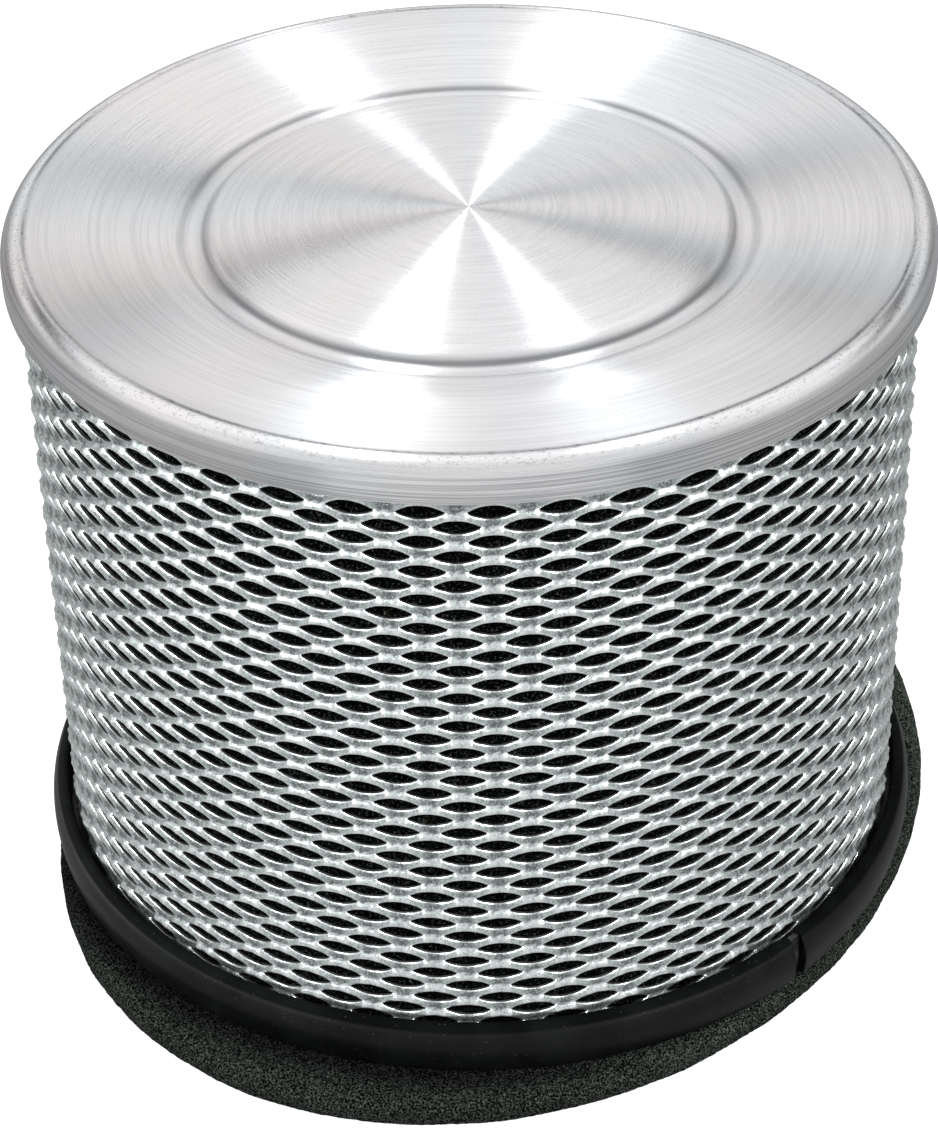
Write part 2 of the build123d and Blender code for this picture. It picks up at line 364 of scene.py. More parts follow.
def spun_aluminium(name):
    """Aluminium turned under a brush: fine rings of scratches round the axis."""
    mat = Material(name)
    radius, z, cosine, sine = mat.round_coords()
    along = mat.math("SUBTRACT", radius, z)  # distance along the turned section

    def rings(frequency, arc, detail, rough=0.6):
        """Noise drawn out round the axis; a larger arc value makes shorter streaks."""
        streaks = mat.stretch((along, cosine, sine), (frequency, arc, arc))
        return mat.noise(streaks, detail=detail, rough=rough)

    broad = rings(0.55, arc=1.0, detail=3.0)
    fine = rings(2.1, arc=1.6, detail=4.0, rough=0.8)
    hair = rings(6.5, arc=9.0, detail=2.0, rough=0.7)
    cloud = mat.noise(mat.mm(), scale=0.035, detail=3.0, rough=0.6)
    tint = mat.noise(mat.vec(mat.mul(cosine, 2.1), mat.mul(sine, 2.1), 3.0), detail=1.0)

    # cool to warm metal, darkened by the scratches, then by faint clouds
    metal = mat.mix(mat.step(tint, edges=(0.35, 0.65)), (0.875, 0.90, 0.92), (0.93, 0.905, 0.90))
    scratches = mat.mix(mat.step(fine, edges=(0.34, 0.62)), (0.74, 0.74, 0.75), (1.0, 1.0, 1.0))
    clouds = mat.mix(mat.step(cloud, edges=(0.3, 0.7)), (0.955, 0.955, 0.96), (1.0, 1.0, 1.0))
    clean = mat.mix(0.52, metal, scratches, blend="MULTIPLY")
    clean = mat.mix(1.0, clean, clouds, blend="MULTIPLY")
    tone_mix = cap_shade_and_marks(mat, radius, z, cosine, sine, rings, broad)
    # darken the metal with painted shade on the pressed ring and in the groove, and with the real
    # marks and turning lines
    colour = mat.mix(tone_mix, clean, (0.20, 0.205, 0.22))

    # the shoulder is smoother than the flat and the skirt
    calm = mat.add(
        mat.step(radius, edges=(67.5, 68.4), levels=(1.0, 0.66)),
        mat.step(radius, edges=(70.2, 70.9), levels=(0.0, 0.50)),
    )
    # the front of the annulus is handled most, and its grain is duller
    dull = mat.mul(
        mat.step(radius, edges=(47.0, 58.0)),
        mat.step(radius, edges=(68.6, 67.4)),
        mat.step(sine, edges=(-0.15, -0.75)),
    )
    rough = mat.add(mat.weighted((hair, 0.07), (broad, 0.06)), mat.mul(dull, 0.20))
    tangent = mat.node("ShaderNodeTangent", direction_type="RADIAL", axis="Z").outputs[0]
    height = mat.weighted((fine, 0.7), (hair, 0.3))
    normal = mat.bump(height, strength=0.35, distance_mm=0.03)
    mat.set(
        Base_Color=colour,
        Metallic=1.0,
        Roughness=mat.mul(mat.add(rough, 0.30), calm),
        Anisotropic=0.9,
        Anisotropic_Rotation=0.25,
        Tangent=tangent,
        Normal=normal,
    )
    # the scratches themselves: very narrow along the grain, very wide across it
    grain = mat.node("ShaderNodeBsdfAnisotropic", distribution="BECKMANN")
    mat.fill(
        grain,
        Color=colour,
        Roughness=mat.mul(mat.add(rough, 0.215), calm),
        Anisotropy=0.75,
        Tangent=tangent,
        Normal=normal,
    )
    both = mat.node("ShaderNodeMixShader")
    grain_share = 0.72
    for socket, value in zip(both.inputs, (grain_share, mat.bsdf.outputs[0], grain.outputs[0])):
        mat.put(socket, value)
    mat.link(both.outputs[0], mat.out.inputs[0])
    return mat.material


def zinc_mesh(name):
    """Bright zinc over drawn steel: mottled and speckled, with painted shade (darker and duller)
    at the strands' low points, and painted highlights beside the joints and along the edges.
    """
    mat = Material(name)
    place = mat.mm()
    spangle = mat.noise(place, scale=1.1, rough=0.6)
    grain = mat.noise(place, scale=2.6, rough=0.75)
    fleck = mat.noise(place, scale=6.0, detail=1.0)
    speck = mat.xyz(mat.voronoi(place, scale=2.6, out="Color"))[0]
    mottle = mat.weighted((grain, 0.62), (fleck, 0.38))
    # painted shade at each strand's low points, broken up by the mottling
    low_point_shade = mat.math(
        "MULTIPLY",
        mat.node("ShaderNodeAttribute", attribute_name="low_point_shade").outputs["Fac"],
        mat.step(mottle, edges=(0.70, 0.44), levels=(0.25, 1.0)),
        clamp=True,
    )
    # painted highlights: near-white glints beside each joint and bright lines along the cut and
    # face edges
    painted_highlight = mat.node("ShaderNodeAttribute", attribute_name="painted_highlight").outputs["Fac"]
    zinc = mat.ramp(
        mottle,
        [
            (0.34, (0.33, 0.39, 0.39)),
            (0.45, (0.57, 0.65, 0.645)),
            (0.54, (0.73, 0.815, 0.81)),
            (0.66, (0.89, 0.965, 0.955)),
        ],
    )
    # painted shade at the low points, then painted highlights, over the zinc's own mottled tone
    colour = mat.mix(mat.mul(low_point_shade, 0.92), zinc, (0.115, 0.128, 0.13))
    colour = mat.mix(mat.mul(painted_highlight, 0.9), colour, (0.97, 0.985, 0.985))
    rough = mat.add(mat.mul(grain, 0.22), 0.19, mat.mul(low_point_shade, 0.12))
    highlight_rough = 0.27
    height = mat.add(mottle, mat.mul(speck, 0.45), mat.mul(spangle, 0.8))
    return mat.set(
        Base_Color=colour,
        Metallic=0.95,
        Roughness=mat.lerp(mat.mul(painted_highlight, 0.8), rough, highlight_rough),
        Normal=mat.bump(height, strength=0.22, distance_mm=0.12),
    )


def filter_foam(name, dark, light, scale, depth, sparse, foot=None):
    """Open-cell foam: dark pores between lighter struts.

    depth is the bump in mm, a higher `sparse` lights fewer struts, and foot is the
    radius in mm where a shaded ring starts.
    """
    mat = Material(name)
    place = mat.mm()
    warped = mat.node("ShaderNodeVectorMath", operation="ADD")
    wobble = mat.noise(place, scale=scale * 0.9, out="Color")
    mat.put(warped.inputs[0], place)
    mat.put(warped.inputs[1], mat.scale_vec(wobble, 0.35))

    def struts(cell_scale, width):
        edge = mat.voronoi(warped.outputs[0], cell_scale, feature="DISTANCE_TO_EDGE")
        return mat.math("SUBTRACT", 1.0, mat.step(edge, edges=(0.02, width)))

    fleck = mat.noise(place, scale=scale * 1.4, rough=0.7)
    cloud = mat.noise(place, scale=0.09)
    small = mat.mul(struts(scale * 1.9, width=0.17), 0.55)
    lit = mat.math("MAXIMUM", struts(scale, width=0.20), small)
    lit = mat.mul(lit, mat.step(fleck, edges=(sparse, sparse + 0.2)))
    clouds = mat.mix(mat.step(cloud, edges=(0.3, 0.7)), (0.82, 0.84, 0.82), (1.0, 1.0, 1.0))
    colour = mat.mix(1.0, mat.mix(lit, dark, light), clouds, blend="MULTIPLY")
    if foot is not None:
        # painted shade: a shadow under the trim, most on the left, and the whole front and left
        # of the pad darker than the lit right side
        radius, x, _, _ = mat.radius()
        cosine = mat.direction(x, mat.math("MAXIMUM", radius, 0.01))
        shade = mat.mul(
            mat.step(radius, edges=(foot + 5.0, foot)),
            mat.step(cosine, edges=(0.45, -0.15), levels=(0.35, 1.0)),
        )
        # painted shade: the front and left of the pad, away from the light, at about half
        # brightness
        to_right = mat.step(cosine, edges=(0.10, 0.60))
        away = mat.mix(to_right, (0.46, 0.46, 0.46), (1.0, 1.0, 1.0))
        shading = mat.mix(shade, away, (0.06, 0.06, 0.06))
        colour = mat.mix(1.0, colour, shading, blend="MULTIPLY")
    height = mat.add(lit, mat.mul(fleck, 0.5))
    return mat.set(
        Base_Color=colour,
        Roughness=mat.add(0.62, mat.mul(fleck, 0.3)),
        Specular_IOR_Level=mat.mul(lit, 0.4),
        Normal=mat.bump(height, strength=0.9, distance_mm=depth),
    )


def black_vinyl(name):
    """Extruded black vinyl: satin, with faint drag lines along its length and dust."""
    mat = Material(name)
    radius, z, cosine, sine = mat.round_coords()
    drag = mat.noise(mat.stretch((z, cosine, sine), (5.0, 9.0, 9.0)), detail=3.0, rough=0.6)
    smear = mat.noise(mat.mm(), scale=0.11, detail=3.0, rough=0.6)
    grain = mat.noise(mat.mm(), scale=6.0, rough=0.6)
    dust = mat.step(mat.voronoi(mat.mm(), scale=0.9), edges=(0.10, 0.03))
    smears = mat.step(smear, edges=(0.3, 0.75))
    colour = mat.mix(smears, (0.0016, 0.0019, 0.0018), (0.0045, 0.0052, 0.005))
    # the strip's inner parts are matt
    matt = mat.step(radius, edges=(71.65, 71.15))
    rough = mat.add(0.24, mat.weighted((smear, 0.16), (drag, 0.10)))
    height = mat.weighted((drag, 0.6), (grain, 0.4))
    return mat.set(
        Base_Color=mat.mix(mat.mul(dust, 0.35), colour, (0.16, 0.16, 0.15)),
        Roughness=mat.add(rough, mat.mul(matt, 0.35)),
        Specular_IOR_Level=mat.lerp(matt, 0.16, 0.02),
        Normal=mat.bump(height, strength=0.2, distance_mm=0.05),
    )


def set_adhesive(name, low, high, rough=0.3):
    """Poured adhesive: glossy, uneven, with small bubbles."""
    mat = Material(name)
    flow = mat.noise(mat.mm(), scale=0.35, detail=3.0, rough=0.55, distortion=0.6)
    bubbles = mat.step(mat.voronoi(mat.mm(), scale=0.8), edges=(0.22, 0.05))
    height = mat.math("SUBTRACT", mat.mul(flow, 1.0), mat.mul(bubbles, 0.7))
    return mat.set(
        Base_Color=mat.mix(mat.step(flow, edges=(0.3, 0.7)), low, high),
        Roughness=mat.add(rough, mat.mul(flow, 0.25)),
        Normal=mat.bump(height, strength=0.5, distance_mm=0.25),
    )


def filter_paper(name):
    """Resin-cured paper: fibres, faint corrugation, darker resin blotches."""
    mat = Material(name)
    x, y, z = mat.xyz(mat.mm())
    fibre = mat.noise(mat.stretch((x, y, z), (3.0, 3.0, 0.9)), detail=4.0, rough=0.7)
    blotch = mat.noise(mat.mm(), scale=0.12, detail=3.0, rough=0.6)
    corrugation = mat.math("SINE", mat.mul(z, 3.1))
    paper = mat.mix(mat.step(blotch, edges=(0.3, 0.7)), (0.62, 0.50, 0.29), (0.74, 0.64, 0.43))
    fibres = mat.mix(fibre, (0.72, 0.68, 0.60), (1.0, 1.0, 1.0))
    height = mat.add(fibre, mat.mul(corrugation, 0.5))
    return mat.set(
        Base_Color=mat.mix(0.6, paper, fibres, blend="MULTIPLY"),
        Roughness=mat.add(0.72, mat.mul(fibre, 0.2)),
        Specular_IOR_Level=0.25,
        Normal=mat.bump(height, strength=0.5, distance_mm=0.15),
    )


def plated_steel(name, low, high, rough):
    """Zinc or tin plated sheet steel: rolled grain, cloudy plate, small scratches."""
    mat = Material(name)
    cloud = mat.noise(mat.mm(), scale=0.5, detail=4.0, rough=0.65)
    rolled = mat.noise(
        mat.stretch(mat.xyz(mat.mm()), (2.0, 2.0, 0.2)), detail=3.0, rough=0.6
    )
    scratch = mat.noise(mat.mm(), scale=3.0, detail=3.0, rough=0.8, distortion=1.5)
    return mat.set(
        Base_Color=mat.mix(mat.step(cloud, edges=(0.3, 0.7)), low, high),
        Metallic=1.0,
        Roughness=mat.add(rough, mat.weighted((cloud, 0.15), (rolled, 0.1))),
        Normal=mat.bump(mat.add(scratch, rolled), strength=0.25, distance_mm=0.05),
    )


def black_enamel(name):
    """Stove enamel on pressed steel: slight orange peel, rubbed on its edges."""
    mat = Material(name)
    peel = mat.noise(mat.mm(), scale=1.1)
    cloud = mat.noise(mat.mm(), scale=0.15, detail=3.0, rough=0.6)
    edge = mat.node("ShaderNodeNewGeometry").outputs["Pointiness"]
    worn = mat.mul(mat.step(edge, edges=(0.53, 0.60)), mat.step(cloud, edges=(0.4, 0.6)))
    enamel = mat.mix(cloud, (0.012, 0.012, 0.013), (0.022, 0.022, 0.024))
    return mat.set(
        Base_Color=mat.mix(mat.mul(worn, 0.7), enamel, (0.30, 0.30, 0.31)),
        Metallic=mat.mul(worn, 0.7),
        Roughness=mat.add(0.22, mat.mul(cloud, 0.2)),
        Coat_Weight=0.3,
        Normal=mat.bump(peel, strength=0.3, distance_mm=0.06),
    )


# ----------------------------------------------------------------------- cap
cap_lo, cap_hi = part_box("top_cap")
Z_TOP = cap_hi.z / MM
Z_SKIRT = cap_lo.z / MM
R_CAP = cap_hi.x / MM
SHEET = 1.2  # thickness of the metal
BEND = 3.3  # outer radius of the shoulder

# Top of the cap, as spans of (radius, depth below the top), each with its spline steps
CAP_SPANS = (
    # domed disc
    (5, [
        (0.0, 0.0), (7, 0.03), (14, 0.12), (20, 0.30), (26, 0.55), (31, 0.82), (35, 1.08),
        (37.6, 1.31),
    ]),
    # pressed ring
    (4, [
        (37.6, 1.31), (38.7, 1.47), (39.5, 1.78), (40.2, 2.42), (40.8, 2.98), (41.6, 3.2),
        (42.5, 3.2), (43.3, 3.08), (44.0, 2.72), (44.6, 2.36), (45.3, 2.12), (46.4, 1.95),
    ]),
    # dished annulus, ending in a fine groove
    (5, [
        (46.4, 1.95), (50, 1.47), (54, 0.97), (58, 0.55), (62, 0.23), (65.3, 0.05),
        (66.9, 0.0), (67.35, 0.02), (67.6, 0.12), (67.9, 0.0),
    ]),
)
# Turned rings of the skirt: (depth below the shoulder, offset from the cap's radius)
SKIRT_RINGS = (
    (0.25, 0.00), (0.42, -0.045), (0.60, 0.0), (0.95, 0.01), (1.10, -0.035), (1.28, 0.0),
    (1.62, 0.0), (1.75, -0.06), (1.90, -0.01), (2.02, 0.0), (2.20, -0.07), (2.36, -0.03),
)
# Rolled lip: (distance in from the wall's own face, height above the skirt's edge)
LIP_OUTER = ((0.02, 0.42), (0.05, 0.22), (0.16, 0.07), (0.36, 0.0))
LIP_INNER = ((0.36, 0.0), (0.1, 0.1), (0.0, 0.36))


def cap_top(drop):
    points = [(0.0, Z_TOP)]
    for steps, span in CAP_SPANS:
        points += spline([(radius, Z_TOP - depth) for radius, depth in span], steps)[1:]
    return [(radius, z - drop) for radius, z in points]


def cap_section():
    """From the top's centre out and down the skirt, then back along the underside."""
    z_bend = Z_TOP - BEND
    r_inside = R_CAP - SHEET

    def shoulder(radius, degrees):
        return [
            (R_CAP - BEND + radius * math.sin(turn), z_bend + radius * math.cos(turn))
            for turn in np.radians(degrees)
        ]

    section = cap_top(0.0) + shoulder(BEND, np.linspace(0, 90, 15)[1:])
    section += [(R_CAP + offset, z_bend - depth) for depth, offset in SKIRT_RINGS]
    section += [(R_CAP - inset, Z_SKIRT + rise) for inset, rise in LIP_OUTER]
    section += [(r_inside + inset, Z_SKIRT + rise) for inset, rise in LIP_INNER]
    section.append((r_inside, z_bend))
    section += shoulder(BEND - SHEET, np.linspace(90, 0, 8)[1:])
    return section + cap_top(SHEET)[-2::-1]


cap = lathe("spun_cap", cap_section(), segments=288, closed=False)
install(cap, spun_aluminium("spun_aluminium"), "top_cap")

# -------------------------------------------------------------- outer screen
# Raised expanded metal. Each strand is a zigzag band that joins the strand above
# at its high points and the strand below at its low points; its face leans, upper
# edge inwards, and twists a little on each side of a joint. Distance along a strand
# is counted in tenths of a cell, so high and low points are HALF_CELL apart.
N_ROUND = 43  # cells round the drum
STEP = 2.492  # height of a row
Z_ROW0 = 86.82  # top of the strand in row 0
AZ0 = -88.014  # azimuth of a high point in the odd rows, degrees
ROW_FIRST, ROW_LAST = -9, 30
R_MID = 68.42  # radius of the joints' front face
STRAND = 0.62  # thickness of a strand
CELL = 10
HALF_CELL = CELL / 2
HALF_BOND = 1.4  # half the length of a joint
HALF_OPEN = HALF_CELL - HALF_BOND
CHAMFER = 0.10
BELLY = 0.045  # how far the middle of the face bulges
KICK_AT = 1.2  # where the lower edge kicks out beside a joint
HALF_STATIONS = np.array([0.0, 0.7, HALF_BOND, 1.75, 2.6, HALF_OPEN, 4.3, HALF_CELL])

# Weights of painted shade and painted highlight round a strand's section: front bottom,
# low middle, high middle, front top, top chamfer, back top, back bottom, bottom chamfer
MIDDLE_SHADE = np.array([0, 0.20, 0.20, 0, 0, 0, 0, 0])
# painted highlight weights: glints beside the joints, the cut edges, the face edges
KICK_HIGHLIGHT = np.array([1.0, 0.8, 0.15, 0, 0, 0, 0, 0.6])
CUT_EDGE_HIGHLIGHT = np.array([0, 0, 0, 0, 0.8, 0.8, 0, 0])
FACE_EDGE_HIGHLIGHT = np.array([0.22, 0, 0, 0.35, 0, 0, 0, 0.22])


def strand_edges(along):
    """Front-face top and bottom edges of a strand, (height, outward) in mm from the
    strand's own mid height, at distances (0 to HALF_CELL) from its high point."""
    half = STEP / 2
    top_at_high = np.array([half, 0.0])
    top_at_low = np.array([-half + 1.145, -0.285])
    bottom_at_low = np.array([-half, 0.0])
    bottom_at_high = np.array([half - 1.045, 0.48])

    def leave_joint(distance):
        share = np.clip(distance / HALF_OPEN, 0, 1)
        return (1 - (1 - share**1.12) ** 2.3)[:, None]

    top = top_at_high + leave_joint(along - HALF_BOND) * (top_at_low - top_at_high)
    bottom = bottom_at_low + leave_joint(HALF_OPEN - along) * (bottom_at_high - bottom_at_low)
    kick = np.exp(-(((along - KICK_AT) / 0.62) ** 2))
    bottom[:, 1] += 0.26 * kick
    bottom[:, 0] += 0.22 * kick
    return top, bottom


def strand_sections(along, joined_above, joined_below):
    """The eight section points, (height, outward), at each station of a cell."""
    top, bottom = strand_edges(along)
    rise = top - bottom
    length = np.linalg.norm(rise, axis=1)[:, None]
    up = rise / length
    out = np.stack([-up[:, 1], up[:, 0]], axis=1)
    out = np.where(out[:, 1:2] < 0, -out, out)
    top_cut = np.where(joined_above, 0.0, CHAMFER)[:, None]
    bottom_cut = np.where(joined_below, 0.0, CHAMFER)[:, None]
    sections = np.stack(
        [
            bottom + up * bottom_cut,
            bottom + up * (0.30 * length) + out * BELLY,
            bottom + up * (0.70 * length) + out * BELLY,
            top - up * top_cut,
            top - out * top_cut,
            top - out * STRAND,
            bottom - out * STRAND,
            bottom - out * bottom_cut,
        ],
        axis=1,
    )
    # a joint's back corner must be the same point for both strands that meet there
    sections[joined_above, 5] = (STEP / 2 + 0.02, -STRAND)
    sections[joined_below, 6] = (-STEP / 2 + 0.02, -STRAND)
    return sections


def strand_finish(along):
    """How much painted shade and painted highlight each section point of a cell gets, 0 to 1."""
    # painted shade grows toward each low point; painted highlights sit beside each joint and
    # along the edges
    low_point_shade = np.maximum(np.clip((along - 3.1) / 1.1, 0, 1)[:, None], MIDDLE_SHADE)
    near_high = 1 - np.clip(along - 3.0, 0, 1)[:, None]
    kick = np.exp(-(((along - KICK_AT) / 0.58) ** 2))[:, None]
    painted_highlight = np.minimum(kick * KICK_HIGHLIGHT + FACE_EDGE_HIGHLIGHT * near_high + CUT_EDGE_HIGHLIGHT, 1)
    return low_point_shade.ravel(), painted_highlight.ravel()


def wander(verts):
    """Uneven rolling: a slow drift of radius and height, and a small one at each joint."""
    x, y, z = verts.T
    azimuth = np.arctan2(y, x)
    slow = 0.10 * np.sin(3 * azimuth + z / 31.0) + 0.07 * np.sin(7 * azimuth - z / 17.0 + 1.3)
    small = 0.035 * np.sin(N_ROUND * azimuth + z * 1.1) * np.sin(z * 0.83 + 5 * azimuth)
    lift = 0.05 * np.sin(11 * azimuth + z / 9.0) + 0.03 * np.sin(17 * azimuth - z / 5.0 + 0.7)
    scale = 1 + (slow + small - 0.1) / np.hypot(x, y)
    return np.stack([x * scale, y * scale, z + lift], axis=1)


def expanded_sleeve():
    """Vertices, faces, and the painted shade and painted highlight values of each vertex."""
    stations = np.concatenate([HALF_STATIONS[:-1], CELL - HALF_STATIONS[:0:-1]])
    along = np.where(stations <= HALF_CELL, stations, CELL - stations)
    joined_above = along < HALF_BOND + 1e-6
    joined_below = along > HALF_OPEN - 1e-6
    sections = strand_sections(along, joined_above, joined_below)
    per_cell, ring = sections.shape[:2]
    n_rows = ROW_LAST - ROW_FIRST + 2
    columns = N_ROUND * per_cell
    verts, faces = [], []
    for row in range(n_rows):
        level = ROW_FIRST - 1 + row
        heights = Z_ROW0 - STEP * level - STEP / 2 + sections[:, :, 0]
        radii = R_MID + sections[:, :, 1]
        high_azimuth = math.radians(AZ0 + 360.0 / N_ROUND * 0.5 * ((level + 1) % 2))
        for cell in range(N_ROUND):
            azimuth = (high_azimuth + TAU / N_ROUND * (cell + stations / CELL))[:, None]
            block = np.stack([radii * np.cos(azimuth), radii * np.sin(azimuth), heights], axis=2)
            verts.append(block.reshape(-1, 3))
        base = row * columns * ring
        for column in range(columns):
            here = base + column * ring
            there = base + ((column + 1) % columns) * ring
            i, i2 = column % per_cell, (column + 1) % per_cell
            # no faces inside a joint between two strands
            skipped = set()
            if joined_above[i] and joined_above[i2] and row > 0:
                skipped |= {3, 4}
            if joined_below[i] and joined_below[i2] and row < n_rows - 1:
                skipped |= {6, 7}
            for k in range(ring):
                if k not in skipped:
                    k2 = (k + 1) % ring
                    faces.append((here + k, there + k, there + k2, here + k2))
    low_point_shade, painted_highlight = (
        np.tile(values, n_rows * N_ROUND).astype(np.float32) for values in strand_finish(along)
    )
    return wander(np.concatenate(verts)), faces, low_point_shade, painted_highlight


def build_sleeve():
    verts, faces, low_point_shade, painted_highlight = expanded_sleeve()
    me = bpy.data.meshes.new("expanded_sleeve")
    me.from_pydata((verts * MM).tolist(), [], faces)
    for name, values in (("low_point_shade", low_point_shade), ("painted_highlight", painted_highlight)):
        me.attributes.new(name, "FLOAT", "POINT").data.foreach_set("value", values)
    weld_mesh(me, join_mm=0.004, degenerate_mm=0.002)
    shade_smooth(me, sharp=42)
    return add_object("expanded_sleeve", me)


sleeve = build_sleeve()
install(sleeve, zinc_mesh("zinc_plated_mesh"), "outer_screen")

# ----------------------------------------------------------------- edge trim
# U section of vinyl, open at a butt joint at the front right.
TRIM_AZ = -46.4  # azimuth of the joint, degrees
TRIM_GAP = 2.2
TRIM_R = 71.5  # radius the gap is measured at
# (radius, z): the rounded outside, which is splined, and the inside
TRIM_OUTER = [
    (70.95, 4.92), (71.6, 4.95), (71.95, 5.4), (72.2, 6.6), (72.33, 8.2), (72.3, 9.4),
    (72.1, 10.5), (71.72, 11.5), (71.2, 12.3), (70.6, 12.85), (70.0, 13.03), (69.6, 12.95),
    (69.42, 12.5),
]
TRIM_INNER = [
    (69.35, 11.9), (69.35, 11.3), (69.5, 11.2), (69.72, 11.22), (69.8, 11.4), (69.8, 12.42),
    (70.0, 12.47), (70.72, 12.47), (70.92, 12.3), (70.93, 8.0),
]


def trim_warp(points):
    """The strip isn't drawn perfectly tight: it stands off a little near its ends."""
    x, y, z = np.moveaxis(points, 2, 0)
    azimuth = np.arctan2(y, x)
    from_joint = (azimuth - math.radians(TRIM_AZ) + math.pi) % TAU - math.pi
    lift = 0.05 * np.sin(5 * azimuth + 0.4) + 0.18 * np.exp(-((np.abs(from_joint) / 0.07) ** 2))
    scale = 1 + lift / np.hypot(x, y)
    # only the upper part waves up and down
    wave = 0.06 * np.sin(4 * azimuth + 2.0) * (z > 8)
    return np.stack([x * scale, y * scale, z + wave], axis=2)


def build_trim():
    half_gap = math.degrees(TRIM_GAP / 2 / TRIM_R)
    ob = lathe(
        "edge_trim",
        spline(TRIM_OUTER, 3) + TRIM_INNER,
        segments=420,
        start=TRIM_AZ + half_gap,
        arc=360 - 2 * half_gap,
        sharp=50,
        warp=trim_warp,
    )
    bevel = ob.modifiers.new("round_ends", "BEVEL")
    bevel.width = 0.18 * MM
    bevel.segments = 2
    bevel.limit_method = "ANGLE"
    bevel.angle_limit = math.radians(60)
    return ob


trim = build_trim()
install(trim, black_vinyl("black_vinyl"), "base_band")

# ------------------------------------------------------------------ foam pad
# Oval open-cell pad with rounded, slightly ragged edges and a punched opening.
PAD_A, PAD_B = 84.2, 71.0  # half axes
PAD_CENTRE = (2.7, 2.9)
PAD_TURN = math.radians(64.1)  # long axis from +X
PAD_H = 4.6
R_HOLE = 41.0
PAD_SEGMENTS = 1500
TOP_ROUND = 2.2  # height of the rounding along the upper edge
TOP_ROUND_IN = 2.6  # its width
FOOT_ROUND = 0.8  # radius of the rounding along the lower edge
FOOT_INSET = 0.05


def pad_edge(cos_az, sin_az):
    """Distance from the drum's axis to the oval's edge, for each azimuth."""
    cos_turn, sin_turn = math.cos(PAD_TURN), math.sin(PAD_TURN)

    def to_oval(x, y):
        """Turned into the oval's axes and divided by its half axes."""
        return (x * cos_turn + y * sin_turn) / PAD_A, (-x * sin_turn + y * cos_turn) / PAD_B

    start_x, start_y = to_oval(-PAD_CENTRE[0], -PAD_CENTRE[1])
    ray_x, ray_y = to_oval(cos_az, sin_az)
    square = ray_x**2 + ray_y**2
    cross = start_x * ray_x + start_y * ray_y
    constant = start_x**2 + start_y**2 - 1
    return (-cross + np.sqrt(cross * cross - square * constant)) / square


def pad_section():
    """(kind, value, z) stations, from the opening over the top, down and back.

    A "share" value is a share of the way from the opening to the edge; an "inset"
    value is a distance in from the edge.
    """
    section = [("share", share * 0.82, PAD_H) for share in np.linspace(0, 1, 9)[:-1]]
    for inset in (11.5, 10.4, 9.4, 8.4, 7.5, 6.6, 5.8, 5.0, 4.3, 3.6, 3.0):
        section.append(("inset", inset, PAD_H))
    for turn in np.radians(np.linspace(0, 90, 9)[1:]):
        inset = TOP_ROUND_IN - TOP_ROUND_IN * math.sin(turn)
        section.append(("inset", inset, PAD_H - TOP_ROUND + TOP_ROUND * math.cos(turn)))
    section += [("inset", 0.0, 1.8), ("inset", FOOT_INSET, 1.25)]
    for turn in np.radians(np.linspace(0, 90, 4)[1:]):
        inset = FOOT_INSET + FOOT_ROUND - FOOT_ROUND * math.cos(turn)
        section.append(("inset", inset, FOOT_ROUND - FOOT_ROUND * math.sin(turn)))
    section += [("inset", inset, 0.0) for inset in (2.0, 3.2, 4.6, 6.2, 8.0)]
    section += [("share", share, 0.0) for share in (0.72, 0.6, 0.48, 0.36, 0.24, 0.12, 0.05)]
    return section + [("share", 0.0, z) for z in (0.25, 1.2, 2.3, 3.4)]


def noise_at(points):
    return np.array([noise.noise(Vector(point)) for point in points.tolist()])


def roughen_pad(verts, raggedness):
    """Move points by foam-cell noise, most on the outer wall."""
    x, y, z = verts.T
    cells = noise_at(verts * 1.55 + (0.0, 0.0, 40.0))
    broad = noise_at(verts * (0.12, 0.12, 0.3))
    pores = raggedness * (0.12 * cells - 0.06)
    on_wall = np.where((z < PAD_H - 0.3) & (z > 0.1), 1.0, 0.35)
    radius = np.hypot(x, y)
    new_x = x + x / radius * (pores * on_wall + 0.30 * broad * raggedness)
    new_y = y + y / radius * (pores * on_wall + 0.25 * broad * raggedness)
    foot_z = np.maximum(0.0, z + 0.25 * np.abs(pores) * (raggedness > 0.5))
    new_z = np.where(z > PAD_H - 0.9, z + 0.6 * pores - 0.02, np.where(z < 0.3, foot_z, z))
    return np.stack([new_x, new_y, new_z], axis=1)


def build_pad():
    azimuth = np.arange(PAD_SEGMENTS) / PAD_SEGMENTS * TAU
    cos_az, sin_az = np.cos(azimuth), np.sin(azimuth)
    edge = pad_edge(cos_az, sin_az)
    section = pad_section()
    count = len(section)
    points = np.empty((PAD_SEGMENTS, count, 3))
    for k, (kind, value, z) in enumerate(section):
        share_radius = R_HOLE + 0.05 + (edge - R_HOLE) * value
        radius = share_radius if kind == "share" else edge - value
        points[:, k, 0] = radius * cos_az
        points[:, k, 1] = radius * sin_az
        points[:, k, 2] = z
    raggedness = [1.0 if kind == "inset" else 0.25 for kind, _, _ in section]
    verts = roughen_pad(points.reshape(-1, 3), np.tile(raggedness, PAD_SEGMENTS))
    faces = []
    for i in range(PAD_SEGMENTS):
        here, there = i * count, ((i + 1) % PAD_SEGMENTS) * count
        for k in range(count):
            k2 = (k + 1) % count
            faces.append((here + k, here + k2, there + k2, there + k))
    return mesh_object("foam_pad", verts, faces)


pad = build_pad()
pad_foam = filter_foam(
    "gasket_foam",
    dark=(0.002, 0.0025, 0.002),
    light=(0.152, 0.190, 0.156),
    scale=2.0,
    depth=0.35,
    sparse=0.39,
    foot=72.6,
)
install(pad, pad_foam, "foam_gasket")

